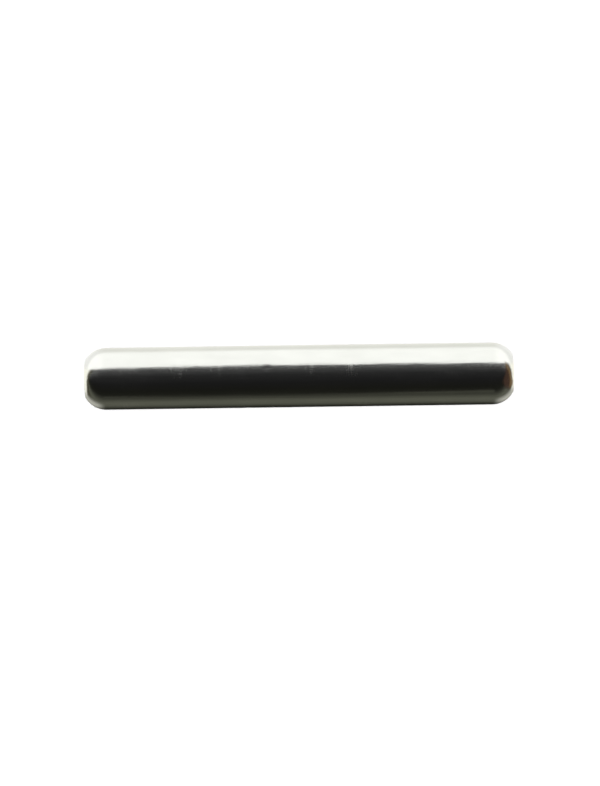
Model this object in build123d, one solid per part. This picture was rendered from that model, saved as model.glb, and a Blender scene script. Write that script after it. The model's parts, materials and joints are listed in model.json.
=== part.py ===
"""Slotted spring pin, 6 mm nominal diameter by 45 mm long, lying on its slot.

The pin is one piece of spring steel. A flat strip is sheared to width and rolled round until
its two long edges almost meet, which leaves a tube with a gap, the slot, along its whole length.
Both ends are then swaged: a die rounds the outside into a nose, which leads the pin into a hole
a little smaller than itself, and closes the bore to a smaller mouth. Last, the pin is tumbled,
which rounds its edges. Driven into its hole, the tube closes up and the slot narrows, so the pin
grips the hole like a spring.

Frame: X runs along the pin, Z is up and Z = 0 is the surface that the pin lies on. The origin
is under the middle of the pin. The slot faces down, which is where a loose pin stays put: it
stands on the two long edges of its slot and doesn't roll. All lengths are in millimetres.
"""

from build123d import *
from math import acos, asin, cos, degrees, sin
import os

# Driving dimensions
length = 45.0  # over both ends
free_diameter = 6.55  # outside, before the pin is driven into its 6 mm hole
wall = 1.2  # thickness of the strip
slot_width = 2.3  # gap between the strip's edges, halfway through the wall
nose_radius = 2.5  # rounding of the outside at each end
tip_radius = 0.4  # tighter rounding in which each nose meets the end
end_land = 0.1  # flat ring left on each end
mouth_closing = 0.475  # how far each end's swaging brings in the wall of the bore
mouth_length = 0.45  # from each end to the bends that open out to the bore
mouth_edge_radius = 0.12  # rounding between each mouth and the end
swage_radius = 1.0  # both bends of the S in which the bore closes to the mouth
edge_radius = 0.08  # tumbled edges, all the way round both faces of the slot

# The round wall and its slot
outer_radius = free_diameter / 2
bore_radius = outer_radius - wall
middle_radius = outer_radius - wall / 2
half_slot_angle = asin(slot_width / 2 / middle_radius)

# Each end, from the shank round the nose and the tip to the flat ring
end_x = length / 2
mouth_radius = bore_radius - mouth_closing
ring_radius = mouth_radius + mouth_edge_radius + end_land
nose_turn = acos((nose_radius - outer_radius + ring_radius) / (nose_radius - tip_radius))
shank_end_x = end_x - tip_radius - (nose_radius - tip_radius) * sin(nose_turn)

# Inside, an S of two equal bends closes the bore to the mouth
swage_turn = acos(1 - mouth_closing / 2 / swage_radius)
bore_end_x = end_x - mouth_length - 2 * swage_radius * sin(swage_turn)

# The pin stands on the rounded outer edges of its slot
edge_centre_radius = outer_radius - edge_radius
edge_centre_angle = half_slot_angle + asin(edge_radius / edge_centre_radius)
axis_height = edge_centre_radius * cos(edge_centre_angle) + edge_radius


def half_wall_section():
    """The wall cut lengthways, from mid-length to the +X end: X along the pin, Y out from it."""
    nose = JernArc((shank_end_x, outer_radius), (1, 0), nose_radius, -degrees(nose_turn))
    tip = JernArc(nose @ 1, nose % 1, tip_radius, degrees(nose_turn) - 90)
    ring = Line(tip @ 1, (end_x, ring_radius - end_land))
    mouth_edge = JernArc(ring @ 1, (0, -1), mouth_edge_radius, -90)
    closing = JernArc((bore_end_x, bore_radius), (1, 0), swage_radius, -degrees(swage_turn))
    levelling = JernArc(closing @ 1, closing % 1, swage_radius, degrees(swage_turn))
    mouth = Line(levelling @ 1, mouth_edge @ 1)
    middle = Polyline(closing @ 0, (0, bore_radius), (0, outer_radius), nose @ 0)
    return make_face([nose, tip, ring, mouth_edge, mouth, levelling, closing, middle])


def rolled_tube():
    """The wall carried round the axis from one edge of the slot to the other."""
    half_section = half_wall_section()
    section = Plane.XZ * (half_section + mirror(half_section, Plane.YZ))
    roll_angle = 360 - 2 * degrees(half_slot_angle)
    return revolve(section.rotate(Axis.X, -roll_angle / 2), Axis.X, roll_angle)


def spring_pin():
    """The finished pin, with the edges of its slot rounded, set down on them."""
    tube = rolled_tube()
    flat_faces = tube.faces().filter_by(GeomType.PLANE)
    slot_faces = flat_faces.sort_by(SortBy.AREA)[-2:]
    tube = fillet(slot_faces.edges(), edge_radius)
    return Pos(0, 0, axis_height) * tube


os.makedirs("parts", exist_ok=True)
export_step(spring_pin(), "parts/spring_pin.step")
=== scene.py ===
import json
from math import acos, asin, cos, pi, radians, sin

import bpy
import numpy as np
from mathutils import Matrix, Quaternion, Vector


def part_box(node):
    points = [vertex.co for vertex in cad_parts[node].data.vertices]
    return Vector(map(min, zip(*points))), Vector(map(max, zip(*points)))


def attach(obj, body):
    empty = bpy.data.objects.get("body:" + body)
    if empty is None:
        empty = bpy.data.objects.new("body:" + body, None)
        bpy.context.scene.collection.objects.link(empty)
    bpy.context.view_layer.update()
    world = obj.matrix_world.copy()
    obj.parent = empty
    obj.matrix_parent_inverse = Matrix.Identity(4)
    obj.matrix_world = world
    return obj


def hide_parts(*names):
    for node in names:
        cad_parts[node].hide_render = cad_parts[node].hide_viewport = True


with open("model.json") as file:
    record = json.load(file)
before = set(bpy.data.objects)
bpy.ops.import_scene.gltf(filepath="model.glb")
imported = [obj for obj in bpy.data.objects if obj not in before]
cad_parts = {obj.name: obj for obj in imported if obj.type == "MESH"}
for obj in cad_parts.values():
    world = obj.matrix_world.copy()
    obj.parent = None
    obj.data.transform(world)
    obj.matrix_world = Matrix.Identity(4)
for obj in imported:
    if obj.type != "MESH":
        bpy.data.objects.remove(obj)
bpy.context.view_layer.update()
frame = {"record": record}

# Looks of the slotted spring pin: one bright piece of rolled, swaged and tumbled spring steel. It
# lies on its slot on a pale floor, with the studio's light over and behind it. The visual piece has
# the CAD node's form, and adds what rolling, shearing, tumbling and handling leave on such a pin.
# Lengths are in millimetres and angles in radians, up to where a mesh or an object is made.

METRE = 1000  # millimetres

# The pin as it was packed
mounts = {mount["name"]: mount for mount in frame["record"]["mounts"]}
pin_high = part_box("spring_pin")[1] * METRE
end_x = pin_high.x
outer_radius = mounts["shank"]["dims"]["r_mm"]
mouth_radius = mounts["bore"]["dims"]["r_mm"]

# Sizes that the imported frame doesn't state, as in the pin's source
wall = 1.2
slot_width = 2.3  # halfway through the wall
nose_radius = 2.5
tip_radius = 0.4
end_land = 0.1
mouth_length = 0.45
mouth_edge_radius = 0.12
swage_radius = 1.0
edge_radius = 0.08  # all round both faces of the slot

bore_radius = outer_radius - wall
half_slot_angle = asin(slot_width / 2 / (outer_radius - wall / 2))
ring_radius = mouth_radius + mouth_edge_radius + end_land
nose_turn = acos((nose_radius - outer_radius + ring_radius) / (nose_radius - tip_radius))
shank_end_x = end_x - tip_radius - (nose_radius - tip_radius) * sin(nose_turn)
swage_turn = acos(1 - (bore_radius - mouth_radius) / 2 / swage_radius)
swage_length = 2 * swage_radius * sin(swage_turn)
bore_end_x = end_x - mouth_length - swage_length

# The pin stands on the rounded outer edges of its slot
edge_centre_radius = outer_radius - edge_radius
edge_centre_angle = half_slot_angle + asin(edge_radius / edge_centre_radius)
axis_height = edge_centre_radius * cos(edge_centre_angle) + edge_radius

# Fineness of the mesh
SHANK_STEPS = 100  # from mid-length to each nose
SWAGE_STEPS = 8  # along each bend of the S
PLAIN_STEPS = 4  # along each straight stretch of the bore under the nose
NOSE_STEPS = 2 * SWAGE_STEPS + 2 * PLAIN_STEPS  # as many as the bore has under it
TIP_STEPS = 6
ROUND_STEPS = 150  # round the pin, from one face of the slot to the other
EDGE_STEPS = 3  # round each edge of the slot
STRIP_STEPS = 8  # through the wall

# What working and handling leave on the pin
RUBBED = 0.005  # all over the outside, by tumbling
WORN_FROM_SLOT = (0.05, 0.6)  # angles from its edges, between which wear sets in
ROLL_FLAT = 0.1  # depth of the flat that the rolls leave along the upper back, at the -X end
ROLL_FLAT_RIGHT = 0.5  # share of that depth at the +X end
ROLL_FLAT_WIDTH = radians(120)
ROLL_FLAT_ANGLE = radians(150)  # of its middle, from straight down
RIPPLES = 10
RIPPLE_SEED = 11
RIPPLES_ALONG = (0.2, 1.6)  # radians in a millimetre
RIPPLES_AROUND = (2, 9)  # whole waves round the pin, fewer than the second number
RIPPLE_HEIGHT = 0.003
DENTS = 14
DENT_SEED = 5
DENT_TURNS = (pi / 3, 5 * pi / 3)  # from straight down
DENT_DEPTHS = (0.004, 0.010)
DENT_RADII = (0.2, 0.5)
KNOCK = (-3.35, radians(183))  # the one clear knock in the photo: along, and round from below
KNOCK_DEPTH = 0.03
KNOCK_RADIUS = 0.26
SCUFFED = [  # the scuffed places beside it, each with its radius and its strength
    (5.5, radians(190), 1.0, 0.85),
    (1.1, radians(187), 0.8, 0.75),
    (-8.6, radians(188), 1.0, 0.72),
    (-12.6, radians(188), 1.3, 0.72),
]
TORN_START = (0.38, 0.53)  # shares of the wall, after what the shears cut cleanly
TORN_END = (0.85, 1)
TORN_DEPTH = 0.02
TORN_LEAST = 0.3  # share of that depth
TORN_SEED = 3
TORN_FROM_END = (0.06, 0.5)  # between which tearing sets in
CUT_ENDS = 0.6  # how rough the flat rings are, where 1 is torn steel


# --- The wall's outline: rows of x, distance from the axis, and the direction into the steel


def line(start, end, steps, inward):
    """Points from just after start to end."""
    shares = np.arange(1, steps + 1)[:, None] / steps
    points = np.array(start) * (1 - shares) + np.array(end) * shares
    return np.hstack([points, np.tile(inward, (steps, 1))])


def arc(centre, radius, start, end, steps, hollow=False):
    """Points from just after the angle start to the angle end, both from +X."""
    angles = start + (end - start) * np.arange(1, steps + 1) / steps
    outward = np.column_stack([np.cos(angles), np.sin(angles)])
    points = np.array(centre) + radius * outward
    return np.hstack([points, outward if hollow else -outward])


def outside_half():
    """The outside, from mid-length over the nose and the tip to the ring at the +X end."""
    up = pi / 2
    nose_centre = (shank_end_x, outer_radius - nose_radius)
    tip_centre = (end_x - tip_radius, ring_radius)
    return np.vstack([
        line((0, outer_radius), (shank_end_x, outer_radius), SHANK_STEPS, (0, -1)),
        arc(nose_centre, nose_radius, up, up - nose_turn, NOSE_STEPS),
        arc(tip_centre, tip_radius, up - nose_turn, 0, TIP_STEPS),
    ])


def bore_half():
    """The bore, from mid-length through the S and the mouth to the ring at the +X end."""
    up = pi / 2
    closing_centre = (bore_end_x, bore_radius - swage_radius)
    levelling_centre = (bore_end_x + swage_length, mouth_radius + swage_radius)
    edge_centre = (end_x - mouth_edge_radius, mouth_radius + mouth_edge_radius)
    mouth_start = (levelling_centre[0], mouth_radius)
    mouth_end = (edge_centre[0], mouth_radius)
    return np.vstack([
        line((0, bore_radius), (shank_end_x, bore_radius), SHANK_STEPS, (0, 1)),
        line((shank_end_x, bore_radius), (bore_end_x, bore_radius), PLAIN_STEPS, (0, 1)),
        arc(closing_centre, swage_radius, up, up - swage_turn, SWAGE_STEPS, hollow=True),
        arc(levelling_centre, swage_radius, -up - swage_turn, -up, SWAGE_STEPS),
        line(mouth_start, mouth_end, PLAIN_STEPS, (0, 1)),
        arc(edge_centre, mouth_edge_radius, -up, 0, TIP_STEPS),
    ])


def both_ends(half, middle):
    """The half outline and its mirror image, from the -X end to the +X end."""
    return np.vstack([half[::-1] * (-1, 1, -1, 1), middle, half])


def end_ring(side):
    """The flat ring at one end, going inwards, without its two borders."""
    x = side * end_x
    return line((x, ring_radius), (x, ring_radius - end_land), STRIP_STEPS, (-side, 0))[:-1]


outside = both_ends(outside_half(), (0, outer_radius, 0, -1))
bore = both_ends(bore_half(), (0, bore_radius, 0, 1))
stations = len(outside)
outline = np.vstack([outside, end_ring(1), bore[::-1], end_ring(-1)[::-1]])


# --- What working and handling leave on the pin, as depths within its true form


def fade(value, start, end):
    """0 before start, 1 after end, and a smooth rise between them."""
    share = np.clip((value - start) / (end - start), 0, 1)
    return share * share * (3 - 2 * share)


def rolled_flat(x, angle):
    """The flat along the upper back, which fades out towards mid-length."""
    at_end = np.where(x < 0, 1, ROLL_FLAT_RIGHT) * (x / end_x) ** 2
    across = np.clip((angle - ROLL_FLAT_ANGLE) / ROLL_FLAT_WIDTH, -0.5, 0.5)
    return ROLL_FLAT * at_end * np.cos(pi * across) ** 2


def ripples(x, angle):
    """Long shallow waves."""
    draw = np.random.default_rng(RIPPLE_SEED)
    total = 0
    for _ in range(RIPPLES):
        along, waves = draw.uniform(*RIPPLES_ALONG), draw.integers(*RIPPLES_AROUND)
        total = total + np.sin(along * x + waves * angle + draw.uniform(0, 2 * pi))
    return RIPPLE_HEIGHT * (1 + total / RIPPLES)


def dent(x, angle, place, turn, radius):
    """One round dent, 1 deep."""
    away = np.hypot(x - place, (angle - turn) * outer_radius)
    return np.exp(-((away / radius) ** 2))


def dents(x, angle):
    """Small dents, where pins knocked together, and the one clear knock."""
    draw = np.random.default_rng(DENT_SEED)
    total = 0
    for _ in range(DENTS):
        place, turn = draw.uniform(-shank_end_x, shank_end_x), draw.uniform(*DENT_TURNS)
        radius, depth = draw.uniform(*DENT_RADII), draw.uniform(*DENT_DEPTHS)
        total = total + depth * dent(x, angle, place, turn, radius)
    return total + KNOCK_DEPTH * dent(x, angle, *KNOCK, KNOCK_RADIUS)


def wear(x, radius, angle):
    """All of it on the outside. It fades out towards the slot, because the pin stands there, and
    towards the flat ring at each end."""
    from_slot = pi - abs(angle - pi) - half_slot_angle
    share = fade(from_slot, *WORN_FROM_SLOT) * fade(radius, ring_radius, outer_radius)
    return share * (RUBBED + rolled_flat(x, angle) + ripples(x, angle) + dents(x, angle))


def tearing(shares, x):
    """How deeply the steel tore, at shares of the wall from the outside, from 0 to 1."""
    rough = np.random.default_rng(TORN_SEED).uniform(TORN_LEAST, 1, (len(shares), len(x)))
    rough = (rough + np.roll(rough, 1, axis=1) + np.roll(rough, 1, axis=0)) / 3
    torn = fade(shares, *TORN_START) * (1 - fade(shares, *TORN_END))
    return torn[:, None] * fade(end_x - abs(x), *TORN_FROM_END) * rough


# --- The pin's mesh

outline_x, outline_r, inward_x, inward_r = outline.T
on_outside = np.arange(len(outline)) < stations
edge_r = outline_r + edge_radius * inward_r
lean = np.arcsin(edge_radius / edge_r)  # from a slot face to the middle of its edge's rounding


def around(x, radius, angle):
    """Points at angles from straight down, about the pin's axis."""
    x, radius, angle = np.broadcast_arrays(x, radius, angle)
    return np.stack([x, radius * np.sin(angle), axis_height - radius * np.cos(angle)], axis=-1)


def surface_point(x, angle):
    return tuple(float(part) for part in around(x, outer_radius, angle))


def surface_rows():
    """Rows of the outline, from one rounded edge of the slot round to the other."""
    turns = np.linspace(-1, 1, ROUND_STEPS + 1)[:, None]
    angles = pi + turns * (pi - half_slot_angle - lean)
    worn = on_outside * wear(outline_x, outline_r, angles)
    return around(outline_x, outline_r - worn, angles)


def edge_rows():
    """Rows of one rounded edge of the slot, from the surface to the slot's face."""
    angle = half_slot_angle + lean
    centres = around(outline_x + edge_radius * inward_x, edge_r, angle)
    to_surface = np.stack([-inward_x, -inward_r * np.sin(angle), inward_r * np.cos(angle)], axis=-1)
    to_face = np.array([0, -cos(half_slot_angle), -sin(half_slot_angle)])
    turn = np.arccos(to_surface @ to_face)[:, None]
    rows = []
    for step in range(1, EDGE_STEPS + 1):
        part = turn * step / EDGE_STEPS
        outward = (np.sin(turn - part) * to_surface + np.sin(part) * to_face) / np.sin(turn)
        rows.append(centres + edge_radius * outward)
    return np.array(rows)


def along_bore(border):
    """The bore's part of one border of the slot, from the -X end to the +X end."""
    return border[::-1][STRIP_STEPS - 1:][:stations]


def face_rows(border):
    """Rows of points inside one face of the slot, between its long borders."""
    outer, inner = border[:stations], along_bore(border)
    shares = np.arange(1, STRIP_STEPS) / STRIP_STEPS
    rows = outer + shares[:, None, None] * (inner - outer)
    into_steel = np.array([0, cos(half_slot_angle), sin(half_slot_angle)])
    rows = rows + TORN_DEPTH * tearing(shares, outline_x[:stations])[..., None] * into_steel
    return rows[:, 1:-1]


def quads(grid):
    """The faces between neighbours in a grid of point numbers."""
    corners = [grid[:-1, :-1], grid[:-1, 1:], grid[1:, 1:], grid[1:, :-1]]
    return np.stack(corners, axis=-1).reshape(-1, 4)


def face_grid(border, first_inside):
    """Point numbers of one face of the slot: its border's and those inside it."""
    inside = first_inside + np.arange((STRIP_STEPS - 1) * (stations - 2))
    inside = inside.reshape(STRIP_STEPS - 1, stations - 2)
    right_ring = border[stations:][:STRIP_STEPS - 1, None]
    left_ring = border[::-1][:STRIP_STEPS - 1, None]
    middle = np.hstack([left_ring, inside, right_ring])
    return np.vstack([border[:stations], middle, along_bore(border)])


def set_numbers(mesh, name, parts):
    """Stores a number for each point of a mesh, for its material to read."""
    mesh.attributes.new(name, "FLOAT", "POINT").data.foreach_set("value", np.concatenate(parts))


def set_finish(mesh, rows, inside):
    """Stores how sheltered and how torn each point is: rows of the outline, then those inside
    each face of the slot."""
    depth = np.where(on_outside, 0, fade(end_x - abs(outline_x), 0, mouth_length + swage_length))
    depth = np.where(outline_r < ring_radius - end_land / 2, depth, 0)
    cut = np.where(np.isclose(abs(outline_x), end_x), CUT_ENDS, 0)
    torn = tearing(np.arange(1, STRIP_STEPS) / STRIP_STEPS, outline_x[:stations])[:, 1:-1].ravel()
    open_air = np.zeros(inside)
    set_numbers(mesh, "sheltered", [np.tile(depth, rows), open_air, open_air])
    set_numbers(mesh, "torn", [np.tile(cut, rows), torn, torn])


def pin_mesh():
    """The whole pin."""
    edge, across = edge_rows(), np.array([1, -1, 1])
    rounds = np.concatenate([edge[::-1], surface_rows(), edge * across])
    face = face_rows(edge[-1])
    points = np.concatenate([part.reshape(-1, 3) for part in (rounds, face, face * across)])

    numbers = np.arange(rounds.shape[0] * rounds.shape[1]).reshape(rounds.shape[:2])
    front = face_grid(numbers[0], numbers.size)
    back = face_grid(numbers[-1], numbers.size + face.size // 3)
    closed = np.hstack([numbers, numbers[:, :1]])
    faces = np.concatenate([quads(closed)[:, ::-1], quads(front), quads(back)[:, ::-1]])

    mesh = bpy.data.meshes.new("pin")
    mesh.from_pydata(points / METRE, [], faces)
    set_finish(mesh, len(rounds), face.size // 3)
    mesh.shade_smooth()
    return mesh


# --- Objects and nodes


def new_object(name, data):
    """An object in the scene."""
    thing = bpy.data.objects.new(name, data)
    bpy.context.collection.objects.link(thing)
    return thing


def new_material(name):
    """A material with its shader, and its tree of nodes."""
    material = bpy.data.materials.new(name)
    material.use_nodes = True
    return material, material.node_tree


def add(tree, kind, inputs=(), **settings):
    """Adds a node. Inputs are values, or other nodes' outputs to link to."""
    node = tree.nodes.new("ShaderNode" + kind)
    for name, value in settings.items():
        setattr(node, name, value)
    for key, value in dict(inputs).items():
        if isinstance(value, bpy.types.NodeSocket):
            tree.links.new(value, node.inputs[key])
        else:
            node.inputs[key].default_value = value
    return node


def calculated(tree, operation, *values):
    return add(tree, "Math", dict(enumerate(values)), operation=operation).outputs[0]


def moved(tree, operation, *vectors):
    """A vector worked out from others."""
    return add(tree, "VectorMath", dict(enumerate(vectors)), operation=operation).outputs[0]


def noise(tree, place, cells, detail=2.0):
    """Noise with so many cells in a millimetre, along X, Y and Z."""
    inputs = {"Vector": moved(tree, "MULTIPLY", place, cells), "Scale": 1.0, "Detail": detail}
    return add(tree, "TexNoise", inputs).outputs["Fac"]


def graded(tree, value, low, high, start=0.0, end=1.0):
    """Maps a value from low..high to start..end."""
    inputs = {"Value": value, "From Min": low, "From Max": high, "To Min": start, "To Max": end}
    return add(tree, "MapRange", inputs).outputs[0]


def rise(tree, value, low, high):
    """0 at low, 1 at high, and a smooth rise between them."""
    inputs = {"Value": value, "From Min": low, "From Max": high}
    return add(tree, "MapRange", inputs, interpolation_type="SMOOTHSTEP").outputs[0]


def mixed(tree, share, first, second):
    """A colour from first, at share 0, to second, at 1."""
    ends = [(*colour, 1) if isinstance(colour, tuple) else colour for colour in (first, second)]
    inputs = {0: share, 6: ends[0], 7: ends[1]}  # the inputs for colours, which share their names
    return add(tree, "Mix", inputs, data_type="RGBA").outputs[2]


def relief(tree, height, depth, normal=None):
    """Raises the surface by depth where the height is 1, on top of another relief."""
    inputs = {"Height": height, "Distance": depth / METRE}
    if normal:
        inputs["Normal"] = normal
    return add(tree, "Bump", inputs).outputs["Normal"]


# --- The steel

# Cells of its noises in a millimetre, along X, Y and Z
LINES = (0.3, 6.0, 6.0)  # along the strip, from its rolling
GRAIN = (5.0, 5.0, 5.0)  # from tumbling
SCUFFS = (7.0, 0.7, 0.7)
CLOUDS = (0.25, 0.6, 0.6)
MIDDLE = (0.3, 0.7)  # of each noise, where most of it lies

BRIGHT = [(0.60, 0.60, 0.58), (0.64, 0.64, 0.62)]
DULL = [(0.30, 0.28, 0.26), (0.40, 0.38, 0.35)]
TORN = (0.36, 0.35, 0.34)
ROUGHNESS = (0.14, 0.20)  # across the lines
SHELTERED_ROUGHNESS = 0.2  # more, in the bore
TORN_ROUGHNESS = 0.35
SCUFFED_ROUGHNESS = 0.12
SCUFF_SHARE = (0.42, 0.6)  # of the noise, between which a scuff grows
CLOUD_SHARE = (0.54, 0.68)  # and a lightly scuffed area
LIGHTLY = 0.5
LINES_DEPTH = 0.005
GRAIN_DEPTH = 0.004
SCUFF_DEPTH = 0.006
COARSE_DEPTH = 0.02  # of the grain in the bore and where the steel tore


def scuffing(tree, place, clouds):
    """How scuffed each point is: lightly here and there, and more in the scuffed places."""
    where = calculated(tree, "MULTIPLY", rise(tree, clouds, *CLOUD_SHARE), LIGHTLY)
    for along, turn, reach, strength in SCUFFED:
        spot = {0: place, 1: surface_point(along, turn)}
        away = add(tree, "VectorMath", spot, operation="DISTANCE").outputs["Value"]
        there = calculated(tree, "MULTIPLY", rise(tree, away, reach, reach / 2), strength)
        where = calculated(tree, "MAXIMUM", where, there)
    return calculated(tree, "MULTIPLY", rise(tree, noise(tree, place, SCUFFS), *SCUFF_SHARE), where)


def spring_steel():
    """Tumbled bright steel outside, duller in the bore, and grey and grainy where it tore."""
    material, tree = new_material("spring_steel")
    shader = tree.nodes["Principled BSDF"]
    shader.inputs["Metallic"].default_value = 1.0

    scale = {0: add(tree, "TexCoord").outputs["Object"], "Scale": METRE}
    place = add(tree, "VectorMath", scale, operation="SCALE").outputs[0]
    sheltered = add(tree, "Attribute", attribute_name="sheltered").outputs["Fac"]
    torn = add(tree, "Attribute", attribute_name="torn").outputs["Fac"]
    lines = noise(tree, place, LINES)
    grain = noise(tree, place, GRAIN, detail=3.0)
    clouds = noise(tree, place, CLOUDS, detail=4.0)
    scuffed = scuffing(tree, place, clouds)

    bright = mixed(tree, graded(tree, clouds, *MIDDLE), *BRIGHT)
    dull = mixed(tree, graded(tree, lines, *MIDDLE), *DULL)
    colour = mixed(tree, torn, mixed(tree, sheltered, bright, dull), TORN)
    tree.links.new(colour, shader.inputs["Base Color"])

    roughness = graded(tree, lines, *MIDDLE, *ROUGHNESS)
    roughness = calculated(tree, "MULTIPLY_ADD", sheltered, SHELTERED_ROUGHNESS, roughness)
    roughness = calculated(tree, "MULTIPLY_ADD", torn, TORN_ROUGHNESS, roughness)
    roughness = calculated(tree, "MULTIPLY_ADD", scuffed, SCUFFED_ROUGHNESS, roughness)
    tree.links.new(roughness, shader.inputs["Roughness"])

    coarse = calculated(tree, "MULTIPLY", grain, calculated(tree, "ADD", sheltered, torn))
    normal = relief(tree, lines, LINES_DEPTH)
    normal = relief(tree, grain, GRAIN_DEPTH, normal)
    normal = relief(tree, scuffed, SCUFF_DEPTH, normal)
    normal = relief(tree, coarse, COARSE_DEPTH, normal)
    tree.links.new(normal, shader.inputs["Normal"])
    return material


def place_pin():
    pin = new_object("pin_steel", pin_mesh())
    pin.data.materials.append(spring_steel())
    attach(pin, "root")
    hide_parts("spring_pin")


# --- The studio's light

# What the steel mirrors in front of it and above: degrees up from the horizon in front, over the
# top, with a brightness and a tint
OLIVE = (1.0, 1.03, 0.80)
NEUTRAL = (1.0, 1.01, 1.03)
ROOM = [
    (-180, 0.03, OLIVE),
    (-90, 0.01, OLIVE),  # under the pin
    (-68, 0.035, OLIVE),
    (-48, 0.125, OLIVE),
    (-30, 0.142, OLIVE),  # the table in front
    (-12, 0.070, OLIVE),
    (4, 0.0185, OLIVE),
    (20, 0.0133, OLIVE),  # the dark room
    (50, 0.0148, NEUTRAL),
    (80, 0.0265, NEUTRAL),
    (98, 0.066, NEUTRAL),
    (113, 0.135, NEUTRAL),  # light that spills over the top of the wall
    (180, 0.12, NEUTRAL),
]

# The rest of it, by the X, Y and Z of a direction of length 1, called beside, behind and above, and
# by away, which is beside without its sign. Each pair is where a part starts and where it is whole.
FRONT_CORNERS = (0.62, 0.62, 0.55)  # the table at the pin's feet, left and right of its dark line
CORNERS_AWAY = (0.03, 0.4)
CORNERS_ABOVE = (-0.5, -0.85)
SLANT = 1.15  # how high the table's edge at the sides is, as a share of how far behind it is
SLANT_FOOT = -0.45  # the height below which that edge runs straight down
LEFT_EDGE = (0.08, 0.074, 0.045)  # what ends the table on the left
LEFT_EDGE_BESIDE = (-0.6, -0.85)
LEFT_EDGE_LOW = (-0.2, 0.05)
RIGHT_BESIDE = (0.7, 0.88)
RIGHT_LOWER = -0.1  # the table's edge is lower there
SIDE_TABLE = (1.50, 1.49, 1.34)
SIDE_TABLE_AWAY = (0.65, 0.9)
SIDE_TABLE_LEAN = 0.35
SIDE_TABLE_LOW = (0.18, 0.38)
WALL = (1.52, 1.54, 1.50)  # the large soft light behind
SIDE_WALL = (1.66, 1.67, 1.63)
SIDE_WALL_AWAY = (0.05, 0.5)
WALL_BEHIND = (0.40, 0.42)
TABLE = (1.11, 1.12, 1.05)  # the pale table behind
CORNER_TABLE = (1.26, 1.27, 1.24)
CORNER_TABLE_AWAY = (0.05, 0.4)
TABLE_ABOVE = (0.04, -0.33)
BACKDROP = (1.0, 1.0, 1.0)


def below_edge(tree, behind, above):
    """How far a direction is below the slanting edge of the table at the sides."""
    height = calculated(tree, "MAXIMUM", above, SLANT_FOOT)
    return calculated(tree, "SUBTRACT", calculated(tree, "MULTIPLY", behind, SLANT), height)


def room_light(tree, behind, above):
    """The light from ROOM."""
    in_front = calculated(tree, "MULTIPLY", behind, -1.0)
    turn = calculated(tree, "ARCTAN2", above, in_front)
    ramp = add(tree, "ValToRGB", {"Fac": graded(tree, turn, -pi, pi)})
    stops = ramp.color_ramp.elements
    for number, (turned, brightness, tint) in enumerate(ROOM):
        stop = stops[number] if number < len(stops) else stops.new(1.0)
        stop.position = (turned + 180) / 360
        stop.color = [brightness * share for share in tint] + [1]
    return ramp.outputs["Color"]


def front_light(tree, beside, behind, above, away):
    """The light from in front of the pin, from above it and from its sides."""
    below = rise(tree, above, *CORNERS_ABOVE)
    corners = calculated(tree, "MULTIPLY", rise(tree, away, *CORNERS_AWAY), below)
    light = mixed(tree, corners, room_light(tree, behind, above), FRONT_CORNERS)

    low = below_edge(tree, behind, above)
    left = rise(tree, beside, *LEFT_EDGE_BESIDE)
    edge = calculated(tree, "MULTIPLY", left, rise(tree, low, *LEFT_EDGE_LOW))
    light = mixed(tree, edge, light, LEFT_EDGE)

    right = rise(tree, beside, *RIGHT_BESIDE)
    low = calculated(tree, "MULTIPLY_ADD", right, RIGHT_LOWER, low)
    aside = calculated(tree, "MULTIPLY_ADD", low, SIDE_TABLE_LEAN, away)
    aside = rise(tree, aside, *SIDE_TABLE_AWAY)
    table = calculated(tree, "MULTIPLY", aside, rise(tree, low, *SIDE_TABLE_LOW))
    return mixed(tree, table, light, SIDE_TABLE)


def back_light(tree, above, away):
    """The light from behind the pin."""
    wall_light = mixed(tree, rise(tree, away, *SIDE_WALL_AWAY), WALL, SIDE_WALL)
    table_light = mixed(tree, rise(tree, away, *CORNER_TABLE_AWAY), TABLE, CORNER_TABLE)
    return mixed(tree, rise(tree, above, *TABLE_ABOVE), wall_light, table_light)


def place_light():
    """What the steel mirrors all round it, and a plain backdrop for the camera."""
    world = bpy.data.worlds.new("studio")
    world.use_nodes = True
    world.cycles_visibility.diffuse = False  # the lamp lights the floor
    bpy.context.scene.world = world
    tree = world.node_tree
    parts = add(tree, "SeparateXYZ", {0: add(tree, "TexCoord").outputs["Generated"]}).outputs
    beside, behind, above = parts["X"], parts["Y"], parts["Z"]
    away = calculated(tree, "ABSOLUTE", beside)
    front = front_light(tree, beside, behind, above, away)
    back = back_light(tree, above, away)
    light = tree.nodes["Background"]
    mirrored = mixed(tree, rise(tree, behind, *WALL_BEHIND), front, back)
    tree.links.new(mirrored, light.inputs["Color"])
    backdrop = add(tree, "Background", {"Color": (*BACKDROP, 1)})
    seen = add(tree, "LightPath").outputs["Is Camera Ray"]
    either = add(tree, "MixShader", {0: seen, 1: light.outputs[0], 2: backdrop.outputs[0]})
    tree.links.new(either.outputs[0], tree.nodes["World Output"].inputs["Surface"])


# --- What stands in the studio

BLACK, WHITE = (0, 0, 0), (1, 1, 1)

FLOOR_REACH = 2000
FLOOR_COLOUR = (0.8, 0.8, 0.8)
FLOOR_ROUGHNESS = 0.9
FLOOR_GLOW = 0.62

# A low board in front that glows dimly and that only the steel mirrors: a painted reflection of the
# table in front, in shade. It's higher on the right.
BOARD_AWAY = 80
BOARD_TOP = [(-34, 0), (-26, 7), (-14, 0), (3, 0), (26, 18), (34, 0)]  # X and height
BOARD_GLOW = 0.075
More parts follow.
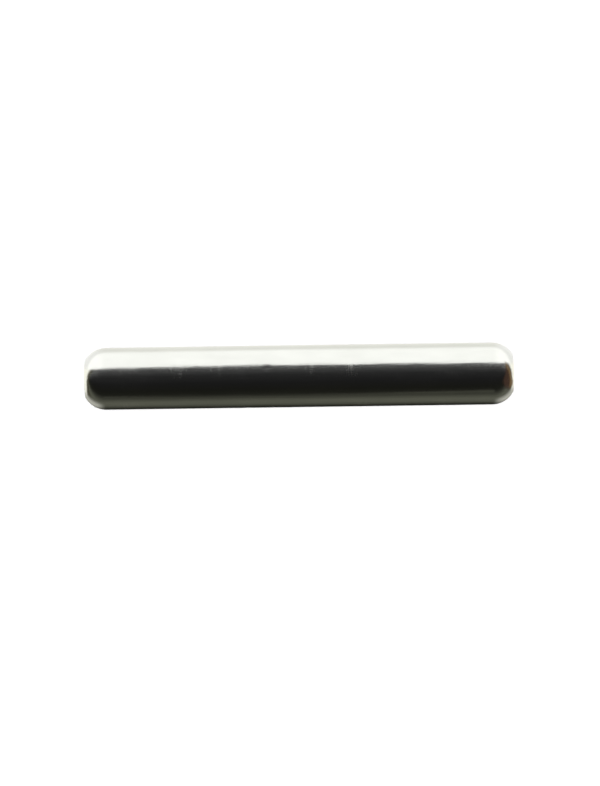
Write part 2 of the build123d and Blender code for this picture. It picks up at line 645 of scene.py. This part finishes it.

# A card beside the pin's right end that glows brown, lighter at its foot, and that only the steel
# mirrors: a painted reflection
CARD = (0.075, 0.043, 0.031)
CARD_FOOT = (0.24, 0.155, 0.075)
CARD_AWAY = 8  # from that end
CARD_SIDES = (-10, 8)
CARD_BOTTOM, CARD_TOP = -6, 10
CARD_SEEN_FROM = (end_x - nose_radius / 5, radians(198))  # along, and round from below
CARD_FOOT_LOW = (-0.10, 0.10)  # between which its colour changes, by directions from that point
CARD_BESIDE = (0.62, 0.8)  # between which it fades in
CARD_LOW = (0.48, 0.28)

LAMP_STRENGTH = 2.2
LAMP_ANGLE = radians(24)

LENS = 180
VIEW_HEIGHT = 82.65  # at the pin
ELEVATION = radians(72)
ROLL = radians(0.79)
RIGHT_OF_MIDDLE = 0.1  # from the pin's middle to the picture's
BELOW_MIDDLE = 1.78
NEAREST, FARTHEST = 10, 10000  # that the camera sees


def flat_object(name, points, faces, material):
    """An object of flat faces."""
    mesh = bpy.data.meshes.new(name)
    mesh.from_pydata(np.array(points) / METRE, [], faces)
    mesh.materials.append(material)
    return new_object(name, mesh)


def only_mirrored(thing):
    """Hides a thing from everything but the steel, which mirrors it."""
    thing.visible_camera = thing.visible_diffuse = thing.visible_shadow = False


def glowing(name, colour, glow, strength, settings):
    """A material of one colour that glows in another, with settings of its shader."""
    material, tree = new_material(name)
    inputs = tree.nodes["Principled BSDF"].inputs
    inputs["Base Color"].default_value = (*colour, 1)
    inputs["Emission Color"].default_value = (*glow, 1)
    inputs["Emission Strength"].default_value = strength
    for socket, value in settings.items():
        inputs[socket].default_value = value
    return material


def place_floor():
    """A pale table that glows a little too, so that its shadows stay light."""
    reach = FLOOR_REACH
    corners = [(-reach, -reach, 0), (reach, -reach, 0), (reach, reach, 0), (-reach, reach, 0)]
    settings = {"Roughness": FLOOR_ROUGHNESS}
    material = glowing("pale_table", FLOOR_COLOUR, WHITE, FLOOR_GLOW, settings)
    floor = flat_object("floor", corners, [(0, 1, 2, 3)], material)
    floor.visible_glossy = False  # the steel mirrors the surroundings instead


def place_board():
    """The dimly glowing board in front, a painted reflection in the steel."""
    base = [(x, -BOARD_AWAY, 0) for x, _ in BOARD_TOP]
    top = [(x, -BOARD_AWAY, height) for x, height in BOARD_TOP]
    count = len(BOARD_TOP)
    faces = [(n, n + 1, n + 1 + count, n + count) for n in range(count - 1)]
    material = glowing("dim_glowing_board", BLACK, OLIVE, BOARD_GLOW, {"Specular IOR Level": 0})
    board = flat_object("board", base + top, faces, material)
    only_mirrored(board)


def glowing_brown_card():
    """Glows brown, lighter at its foot, as a painted reflection at the pin's end, and is clear
    where the pin's end mirrors what is round it.
    """
    material, tree = new_material("glowing_brown_card")
    nose = [part / METRE for part in surface_point(*CARD_SEEN_FROM)]
    from_nose = moved(tree, "SUBTRACT", add(tree, "TexCoord").outputs["Object"], nose)
    parts = add(tree, "SeparateXYZ", {0: moved(tree, "NORMALIZE", from_nose)}).outputs
    low = below_edge(tree, parts["Y"], parts["Z"])
    colour = mixed(tree, rise(tree, low, *CARD_FOOT_LOW), CARD, CARD_FOOT)
    light = add(tree, "Emission", {"Color": colour})
    clear = add(tree, "BsdfTransparent")
    beside = rise(tree, parts["X"], *CARD_BESIDE)
    solid = calculated(tree, "MULTIPLY", beside, rise(tree, low, *CARD_LOW))
    either = add(tree, "MixShader", {0: solid, 1: clear.outputs[0], 2: light.outputs[0]})
    tree.links.new(either.outputs[0], tree.nodes["Material Output"].inputs["Surface"])
    return material


def place_card():
    """The glowing card by the right end, a painted reflection in the steel."""
    x, (front, back) = end_x + CARD_AWAY, CARD_SIDES
    corners = [(x, side, height) for side, height in (
        (front, CARD_BOTTOM), (back, CARD_BOTTOM), (back, CARD_TOP), (front, CARD_TOP))]
    card = flat_object("card", corners, [(0, 1, 2, 3)], glowing_brown_card())
    only_mirrored(card)


def place_lamp():
    """A soft lamp by the camera, from which the pin hides most of its own shadow."""
    data = bpy.data.lights.new("lamp", "SUN")
    data.energy = LAMP_STRENGTH
    data.angle = LAMP_ANGLE
    lamp = new_object("lamp", data)
    lamp.rotation_euler = (pi / 2 - ELEVATION, 0, 0)
    lamp.visible_glossy = False


def place_camera():
    """Looks down at the front of the pin from above, a little below its middle in the picture."""
    data = bpy.data.cameras.new("camera")
    data.lens = LENS
    data.clip_start, data.clip_end = NEAREST / METRE, FARTHEST / METRE
    camera = new_object("camera", data)
    turn = Quaternion((1, 0, 0), pi / 2 - ELEVATION) @ Quaternion((0, 0, 1), -ROLL)
    distance = VIEW_HEIGHT * LENS / data.sensor_width
    middle = Vector((0, 0, axis_height))
    camera.location = (middle + turn @ Vector((RIGHT_OF_MIDDLE, -BELOW_MIDDLE, distance))) / METRE
    camera.rotation_mode = "QUATERNION"
    camera.rotation_quaternion = turn
    bpy.context.scene.camera = camera


bpy.context.scene.view_settings.view_transform = "Standard"
place_camera()
place_pin()
place_floor()
place_board()
place_card()
place_lamp()
place_light()
